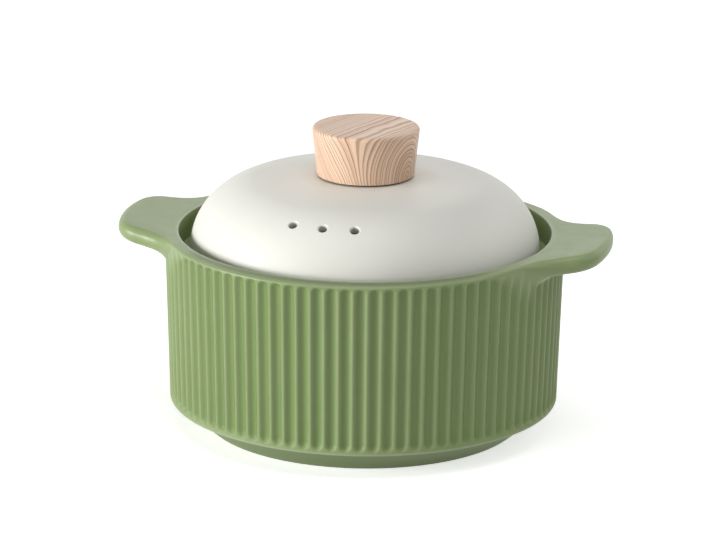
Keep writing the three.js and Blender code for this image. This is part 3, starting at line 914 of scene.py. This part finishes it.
class Nodes:
    """The node tree of a material or of the world, round its one shader."""

    def __init__(self, owner, shader):
        owner.use_nodes = True
        self.owner = owner
        self.tree = owner.node_tree
        self.shader = self.tree.nodes[shader]
        self.place = self.add("ShaderNodeTexCoord").outputs["Object"]

    def add(self, kind, inputs=None, **settings):
        made = self.tree.nodes.new(kind)
        for name, value in settings.items():
            setattr(made, name, value)
        for name, value in (inputs or {}).items():
            if isinstance(value, bpy.types.NodeSocket):
                self.tree.links.new(value, made.inputs[name])
            else:
                made.inputs[name].default_value = value
        return made

    def math(self, operation, first, second=0.0):
        return self.add("ShaderNodeMath", {0: first, 1: second}, operation=operation).outputs[0]

    def attribute(self, name):
        """A value that the mesh carries at its points."""
        return self.add("ShaderNodeAttribute", attribute_name=name).outputs["Fac"]

    def noise(self, size, detail=NOISE_DETAIL, place=None):
        """Noise from 0 to 1 whose features are about size millimetres across."""
        return self.add("ShaderNodeTexNoise", {
            "Vector": place or self.place,
            "Scale": 1 / (size * MM),
            "Detail": detail,
            "Roughness": NOISE_ROUGHNESS,
        }).outputs["Fac"]

    def between(self, value, low, high, to_low=0.0, to_high=1.0):
        return self.add("ShaderNodeMapRange", {
            "Value": value, "From Min": low, "From Max": high, "To Min": to_low, "To Max": to_high,
        }, interpolation_type="SMOOTHSTEP").outputs["Result"]

    def patches(self, to_low=0.0, to_high=1.0, *, size, edge=SOFT_EDGE, detail=NOISE_DETAIL):
        """Patches about size millimetres across."""
        return self.between(self.noise(size, detail), *edge, to_low, to_high)

    def mix(self, share, first, second):
        inputs = {MIX_SHARE: share, MIX_FIRST: first, MIX_SECOND: second}
        return self.add("ShaderNodeMix", inputs, data_type="RGBA").outputs[MIX_RESULT]

    def bump(self, height, depth):
        """A bump of depth millimetres."""
        made = self.add("ShaderNodeBump", {"Height": height, "Distance": depth * MM, "Strength": 1.0})
        return made.outputs["Normal"]

    def surface(self, **links):
        for name, socket in links.items():
            self.tree.links.new(socket, self.shader.inputs[name.replace("_", " ")])
        return self.owner


def surface_nodes(name, **constants):
    """Nodes for a new material, with the constants set on its Principled shader."""
    made = Nodes(bpy.data.materials.new(name), "Principled BSDF")
    for socket, value in constants.items():
        made.shader.inputs[socket.replace("_", " ")].default_value = value
    return made


# Green glaze, and the clay that the pot stands on
GREEN = (0.226, 0.298, 0.12, 1)
GREEN_CLOUD = (0.242, 0.314, 0.132, 1)
GREEN_POOLED = (0.126, 0.2, 0.046, 1)
GREEN_POOLED_SHARE = 0.75
GREEN_SPECK = (0.13, 0.175, 0.07, 1)
# Painted shade on the lip beside its inner edge, and its greatest share
GREEN_LIP_SHADE = (0.1, 0.135, 0.055, 1)
GREEN_LIP_SHADE_SHARE = 0.8
# Pale edges: thin glaze, and along the lip's inner edge also a painted highlight
GREEN_THIN_AND_HIGHLIGHT = (0.46, 0.5, 0.38, 1)
GREEN_DRY = (0.15, 0.205, 0.08, 1)
GREEN_DRY_SHARE = 0.7
GREEN_DRY_EDGE = 1.0
GREEN_ROUGHNESS = (0.36, 0.42)
MATT_ROUGHNESS = 0.6
MATT_FULL = 2.0
MATT_END = 14.0
CLAY = (0.52, 0.42, 0.3, 1)
CLAY_LIGHT = (0.62, 0.52, 0.39, 1)
CLAY_FULL = 0.05
CLAY_END = 0.3


def green_glaze():
    """Sage green that pools in the flutes, breaks thin and pale over edges, with a painted highlight along
    the lip's inner edge and painted shade on the lip beside it, and is drier on the foot. The ring that the
    pot stands on is unglazed clay."""
    shader = surface_nodes("green_glaze", IOR=1.5)
    colour = shader.mix(shader.patches(size=38), GREEN, GREEN_CLOUD)
    in_flutes = shader.between(shader.attribute("pooled"), 0.0, 1.0, 0.0, GREEN_POOLED_SHARE)
    colour = shader.mix(in_flutes, colour, GREEN_POOLED)
    specks = shader.patches(size=0.7, edge=(0.72, 0.78), detail=PLAIN_DETAIL)
    colour = shader.mix(specks, colour, GREEN_SPECK)
    # Painted shade on the lip beside its inner edge
    painted_lip_shade = shader.between(shader.attribute("lip_painted_shade"), 0.0, 1.0, 0.0, GREEN_LIP_SHADE_SHARE)
    colour = shader.mix(painted_lip_shade, colour, GREEN_LIP_SHADE)
    # Pale edges: thin glaze, with a painted highlight along the lip's inner edge
    colour = shader.mix(shader.attribute("thin"), colour, GREEN_THIN_AND_HIGHLIGHT)
    split = shader.add("ShaderNodeSeparateXYZ", {"Vector": shader.place}).outputs
    height = shader.math("DIVIDE", split["Z"], MM)
    dry = shader.between(height, FOOT_HEIGHT - GREEN_DRY_EDGE, FOOT_HEIGHT, GREEN_DRY_SHARE, 0.0)
    colour = shader.mix(dry, colour, GREEN_DRY)
    clay = shader.mix(shader.patches(size=1.2, edge=CLEAR_EDGE), CLAY, CLAY_LIGHT)
    colour = shader.mix(shader.between(height, CLAY_FULL, CLAY_END, 1.0, 0.0), colour, clay)
    matt = shader.between(height, FOOT_HEIGHT + MATT_FULL, FOOT_HEIGHT + MATT_END, 1.0, 0.0)
    gloss = shader.patches(*GREEN_ROUGHNESS, size=9)
    roughness = shader.add("ShaderNodeMapRange", {"Value": matt, "To Min": gloss, "To Max": MATT_ROUGHNESS})
    return shader.surface(
        Base_Color=colour,
        Roughness=roughness.outputs["Result"],
        Normal=shader.bump(shader.noise(size=2.2, detail=PLAIN_DETAIL), depth=0.02),
    )


# Cream glaze, and the darker grey down the steam holes' bores
CREAM = (0.79, 0.786, 0.722, 1)
CREAM_CLOUD = (0.81, 0.804, 0.742, 1)
CREAM_SPECK = (0.6, 0.58, 0.5, 1)
CREAM_SPECK_SHARE = 0.5
CREAM_ROUGHNESS = (0.48, 0.55)
# Darker grey down the steam holes' bores
BORE_DARK_GREY = (0.58, 0.56, 0.5, 1)


def cream_glaze():
    shader = surface_nodes("cream_glaze", IOR=1.5)
    colour = shader.mix(shader.patches(size=45), CREAM, CREAM_CLOUD)
    specks = shader.patches(0.0, CREAM_SPECK_SHARE, size=0.6, edge=(0.74, 0.79), detail=PLAIN_DETAIL)
    colour = shader.mix(specks, colour, CREAM_SPECK)
    # Darker grey down the steam holes' bores
    colour = shader.mix(shader.attribute("bore_grey"), colour, BORE_DARK_GREY)
    return shader.surface(
        Base_Color=colour,
        Roughness=shader.patches(*CREAM_ROUGHNESS, size=11),
        Normal=shader.bump(shader.noise(size=2.6, detail=PLAIN_DETAIL), depth=0.015),
    )


# Wood. Its grain is measured round the knob's base from a heart on one side, and a year is one growth ring.
WOOD = (0.78, 0.55, 0.395, 1)
WOOD_LIGHT = (0.88, 0.66, 0.5, 1)
WOOD_FINE = (0.55, 0.32, 0.19, 1)
WOOD_FINE_EDGE = (0.5, 0.6)
WOOD_FINE_SHARE = 0.65
WOOD_LATE = (0.3, 0.125, 0.055, 1)
WOOD_LATE_START = (0.55, 0.9)
WOOD_LATE_END = (0.92, 1.0)
WOOD_LATE_STRENGTH = (0.4, 1.0)
WOOD_LATE_DEPTH = 0.03
WOOD_HEART = (0.46, 0.26, 0.14, 1)
WOOD_HEART_RADIUS = 11.0
WOOD_HEART_SHARE = 0.45
WOOD_FIBRE = (0.42, 0.25, 0.16, 1)
WOOD_FIBRE_SCALE = 2.2
WOOD_FIBRE_STRETCH = 0.08
WOOD_FIBRE_EDGE = (0.56, 0.72)
WOOD_FIBRE_SHARE = 0.25
WOOD_ROUGHNESS = (0.4, 0.5)
GRAIN_TURN = math.radians(-22)
GRAIN_HEART = 1.8
GRAIN_TALL = 0.62
GRAIN_LEAN = 0.62
GRAIN_LEANING = (16.0, 46.0)
GRAIN_UPRIGHT = (58.0, 76.0)
GRAIN_WAVE = 0.35
RING_WIDTH = 1.5
RING_DRIFT = 3.0
RING_NOISE_ROUGHNESS = 0.6


def pale_wood():
    """Growth rings that run straight across the knob's top and arch round a heart low on one side."""
    shader = surface_nodes("pale_wood", IOR=1.45)

    def along(direction):
        dot = shader.add("ShaderNodeVectorMath", {0: shader.place, 1: direction}, operation="DOT_PRODUCT")
        return shader.math("DIVIDE", dot.outputs["Value"], MM)

    def by_ring(place, size):
        """Noise that changes only from ring to ring."""
        vector = shader.add("ShaderNodeCombineXYZ", {"X": place}).outputs["Vector"]
        return shader.add("ShaderNodeTexNoise", {
            "Vector": vector,
            "Scale": 1 / size,
            "Detail": PLAIN_DETAIL,
            "Roughness": RING_NOISE_ROUGHNESS,
        }).outputs["Fac"]

    toward = along((math.cos(GRAIN_TURN), math.sin(GRAIN_TURN), 0))
    lengthwise = along((-math.sin(GRAIN_TURN), math.cos(GRAIN_TURN), 0))
    up = shader.math("SUBTRACT", along(UPWARD), KNOB_BASE + GRAIN_HEART)
    slope = (KNOB_TOP_RADIUS - KNOB_BASE_RADIUS) / (KNOB_TOP - KNOB_BASE)
    radius = shader.math("ADD", shader.math("MULTIPLY", up, slope), KNOB_BASE_RADIUS + slope * GRAIN_HEART)
    turn = shader.math("ARCCOSINE", shader.math("DIVIDE", toward, radius))
    across = shader.math("MULTIPLY", turn, KNOB_BASE_RADIUS)
    tall = shader.math("MULTIPLY", up, GRAIN_TALL)
    squares = shader.math("ADD", shader.math("POWER", across, 2.0), shader.math("POWER", tall, 2.0))
    from_heart = shader.math("SQRT", squares)
    lean = shader.between(across, *GRAIN_LEANING, 0.0, GRAIN_LEAN)
    upright = shader.between(across, *GRAIN_UPRIGHT, 1.0, 0.0)
    lean = shader.math("MULTIPLY", lean, upright)
    ring = shader.math("SUBTRACT", from_heart, shader.math("MULTIPLY", lean, up))
    wave = shader.patches(-GRAIN_WAVE, GRAIN_WAVE, size=22, edge=(0.2, 0.8), detail=PLAIN_DETAIL)
    ring = shader.math("ADD", ring, wave)
    drift = shader.math("MULTIPLY", by_ring(ring, size=6.0), RING_DRIFT)
    year = shader.math("ADD", shader.math("DIVIDE", ring, RING_WIDTH), drift)
    season = shader.math("FRACT", year)
    darkening = shader.between(season, *WOOD_LATE_START)
    late = shader.math("MULTIPLY", darkening, shader.between(season, *WOOD_LATE_END, 1.0, 0.0))
    by_year = by_ring(shader.math("FLOOR", year), size=1.7)
    late = shader.math("MULTIPLY", late, shader.between(by_year, *SOFT_EDGE, *WOOD_LATE_STRENGTH))
    grain = shader.add("ShaderNodeCombineXYZ", {
        "X": shader.math("MULTIPLY", lengthwise, WOOD_FIBRE_STRETCH), "Y": toward, "Z": up})
    fibres = shader.add("ShaderNodeTexNoise", {
        "Vector": grain.outputs["Vector"], "Scale": WOOD_FIBRE_SCALE, "Detail": NOISE_DETAIL}).outputs["Fac"]
    darker = shader.between(by_ring(ring, size=5.0), *CLEAR_EDGE)
    colour = shader.mix(darker, WOOD_LIGHT, WOOD)
    fine = shader.between(by_ring(ring, size=0.6), *WOOD_FINE_EDGE, 0.0, WOOD_FINE_SHARE)
    colour = shader.mix(fine, colour, WOOD_FINE)
    colour = shader.mix(late, colour, WOOD_LATE)
    heart = shader.between(from_heart, 0.0, WOOD_HEART_RADIUS, WOOD_HEART_SHARE, 0.0)
    colour = shader.mix(heart, colour, WOOD_HEART)
    fibres = shader.between(fibres, *WOOD_FIBRE_EDGE, 0.0, WOOD_FIBRE_SHARE)
    return shader.surface(
        Base_Color=shader.mix(fibres, colour, WOOD_FIBRE),
        Roughness=shader.between(late, 0.0, 1.0, *WOOD_ROUGHNESS),
        Normal=shader.bump(late, -WOOD_LATE_DEPTH),
    )


# Metal and rubber
STEEL = (0.56, 0.57, 0.58, 1)
STEEL_WORN = (0.5, 0.51, 0.52, 1)
BRASS = (0.72, 0.53, 0.24, 1)
BRASS_WORN = (0.62, 0.44, 0.2, 1)
METAL_ROUGHNESS = (0.22, 0.36)
RUBBER = (0.1, 0.09, 0.08, 1)
RUBBER_DUST = (0.14, 0.128, 0.115, 1)
RUBBER_ROUGHNESS = (0.6, 0.75)


def turned_metal(name, colour, worn):
    """Metal with fine rings from the lathe."""
    shader = surface_nodes(name, Metallic=1.0)
    split = shader.add("ShaderNodeSeparateXYZ", {"Vector": shader.place}).outputs
    flat = shader.add("ShaderNodeCombineXYZ", {"X": split["X"], "Y": split["Y"]}).outputs["Vector"]
    radius = shader.add("ShaderNodeVectorMath", {0: flat}, operation="LENGTH").outputs["Value"]
    rings = shader.add("ShaderNodeCombineXYZ", {"X": radius, "Y": split["Z"]}).outputs["Vector"]
    tool_marks = shader.noise(size=0.25, detail=PLAIN_DETAIL, place=rings)
    return shader.surface(
        Base_Color=shader.mix(shader.patches(size=2.5, edge=CLEAR_EDGE), colour, worn),
        Roughness=shader.between(tool_marks, *SOFT_EDGE, *METAL_ROUGHNESS),
        Normal=shader.bump(tool_marks, depth=0.01),
    )


def silicone():
    shader = surface_nodes("silicone", IOR=1.42)
    dust = shader.patches(size=1.5, edge=(0.35, 0.7))
    return shader.surface(
        Base_Color=shader.mix(dust, RUBBER, RUBBER_DUST),
        Roughness=shader.patches(*RUBBER_ROUGHNESS, size=3),
        Normal=shader.bump(shader.noise(size=0.4, detail=PLAIN_DETAIL), depth=0.015),
    )


# Stage
FLOOR_HALF = 6000
FLOOR_COLOUR = (0.9, 0.9, 0.9, 1)
FLOOR_GLOW = 0.62
FLOOR_GLOW_FAR = 1.0
FLOOR_FAR_FROM = 600
FLOOR_FAR_TO = 2500


def seen_directly(shader):
    """1 for rays that show the background as it is, 0 for those that only carry light."""
    path = shader.add("ShaderNodeLightPath").outputs
    direct = shader.math("MAXIMUM", path["Is Camera Ray"], path["Is Transmission Ray"])
    return shader.math("MAXIMUM", direct, path["Is Glossy Ray"])


def floor():
    mesh = bpy.data.meshes.new("floor")
    side = FLOOR_HALF * MM
    corners = [(-side, -side, 0), (side, -side, 0), (side, side, 0), (-side, side, 0)]
    mesh.from_pydata(corners, [], [(0, 1, 2, 3)])
    ground = bpy.data.objects.new("floor", mesh)
    bpy.context.scene.collection.objects.link(ground)
    shader = surface_nodes(
        "floor", Base_Color=FLOOR_COLOUR, Emission_Color=WHITE, Roughness=0.9, Specular_IOR_Level=0.0)
    away = shader.add("ShaderNodeVectorMath", {0: shader.place}, operation="LENGTH").outputs["Value"]
    level = shader.between(away, FLOOR_FAR_FROM * MM, FLOOR_FAR_TO * MM, FLOOR_GLOW, FLOOR_GLOW_FAR)
    glow = shader.math("MULTIPLY", seen_directly(shader), level)
    mesh.materials.append(shader.surface(Emission_Strength=glow))


def world():
    sky = Nodes(bpy.data.worlds.new("studio"), "Background")
    bpy.context.scene.world = sky.owner
    inputs = {"Value": seen_directly(sky), "To Min": SKY_LIGHT, "To Max": 1.0}
    strength = sky.add("ShaderNodeMapRange", inputs)
    sky.shader.inputs["Color"].default_value = WHITE
    sky.surface(Strength=strength.outputs["Result"])


# Lights. They all stand as far from the aim. An azimuth runs in degrees from the camera's side to its right.
SKY_LIGHT = 0.04
LIGHT_AIM = Vector((0, 0, 80)) * MM
LIGHT_DISTANCE = 1700
CAMERA_SIDE = -90
LIGHTS = {
    "key": {"azimuth": -70, "elevation": 8.5, "size": (900, 600), "watts": 27.5},
    "front": {"azimuth": 0, "elevation": 10, "size": (1200, 500), "watts": 3.8},
    "top": {"azimuth": 0, "elevation": 82, "size": (1400, 1400), "watts": 11.5},
    "right": {"azimuth": 80, "elevation": 34, "size": (1000, 1000), "watts": 4.7},
    "rim": {"azimuth": 125, "elevation": 32, "size": (1000, 1200), "watts": 3.6},
    "back": {"azimuth": 180, "elevation": 22, "size": (1400, 700), "watts": 1.6},
}


def lights():
    for name, facts in LIGHTS.items():
        lamp = bpy.data.lights.new(name, "AREA")
        lamp.shape = "RECTANGLE"
        lamp.size, lamp.size_y = (length * MM for length in facts["size"])
        lamp.energy = facts["watts"]
        azimuth = math.radians(facts["azimuth"] + CAMERA_SIDE) + CAMERA_TURN
        toward = Vector(direction(azimuth, math.radians(facts["elevation"])))
        holder = bpy.data.objects.new(name, lamp)
        holder.location = LIGHT_AIM + toward * LIGHT_DISTANCE * MM
        holder.rotation_euler = (-toward).to_track_quat("-Z", "Y").to_euler()
        bpy.context.scene.collection.objects.link(holder)


def camera():
    ahead = direction(math.pi / 2 - CAMERA_YAW, -CAMERA_PITCH)
    level = unit(np.cross(ahead, UPWARD))
    up = np.cross(level, ahead)
    right = math.cos(CAMERA_ROLL) * level + math.sin(CAMERA_ROLL) * up
    up = np.cross(right, ahead)
    place = np.array([0, -CAMERA_DISTANCE, CAMERA_HEIGHT]) * MM
    pose = Matrix.Identity(4)
    for column, axis in enumerate((right, up, -ahead, place)):
        for row in range(3):
            pose[row][column] = axis[row]
    lens = bpy.data.cameras.new("camera")
    lens.sensor_width = SENSOR_WIDTH
    lens.sensor_fit = "HORIZONTAL"
    lens.lens = FOCAL_PIXELS * SENSOR_WIDTH / IMAGE_WIDTH
    lens.clip_end = CAMERA_REACH * MM
    holder = bpy.data.objects.new("camera", lens)
    holder.matrix_world = Matrix.Rotation(CAMERA_TURN, 4, "Z") @ pose
    bpy.context.scene.collection.objects.link(holder)
    bpy.context.scene.camera = holder


camera()
lights()
world()
floor()
pot(green_glaze())
lid(cream_glaze())
knob(pale_wood())
rubber = silicone()
steel = turned_metal("stainless_steel", STEEL, STEEL_WORN)
brass = turned_metal("brass", BRASS, BRASS_WORN)
washer_ring("knob_gasket", GASKET_BORE, GASKET_ROUND, "silicone", rubber)
washer_ring("screw_seal", LID_BORE, SEAL_ROUND, "silicone", rubber)
washer_ring("knob_washer", LID_BORE, WASHER_ROUND, "stainless_steel", steel)
screw(steel)
insert(brass)

bpy.context.scene.view_settings.view_transform = "Standard"
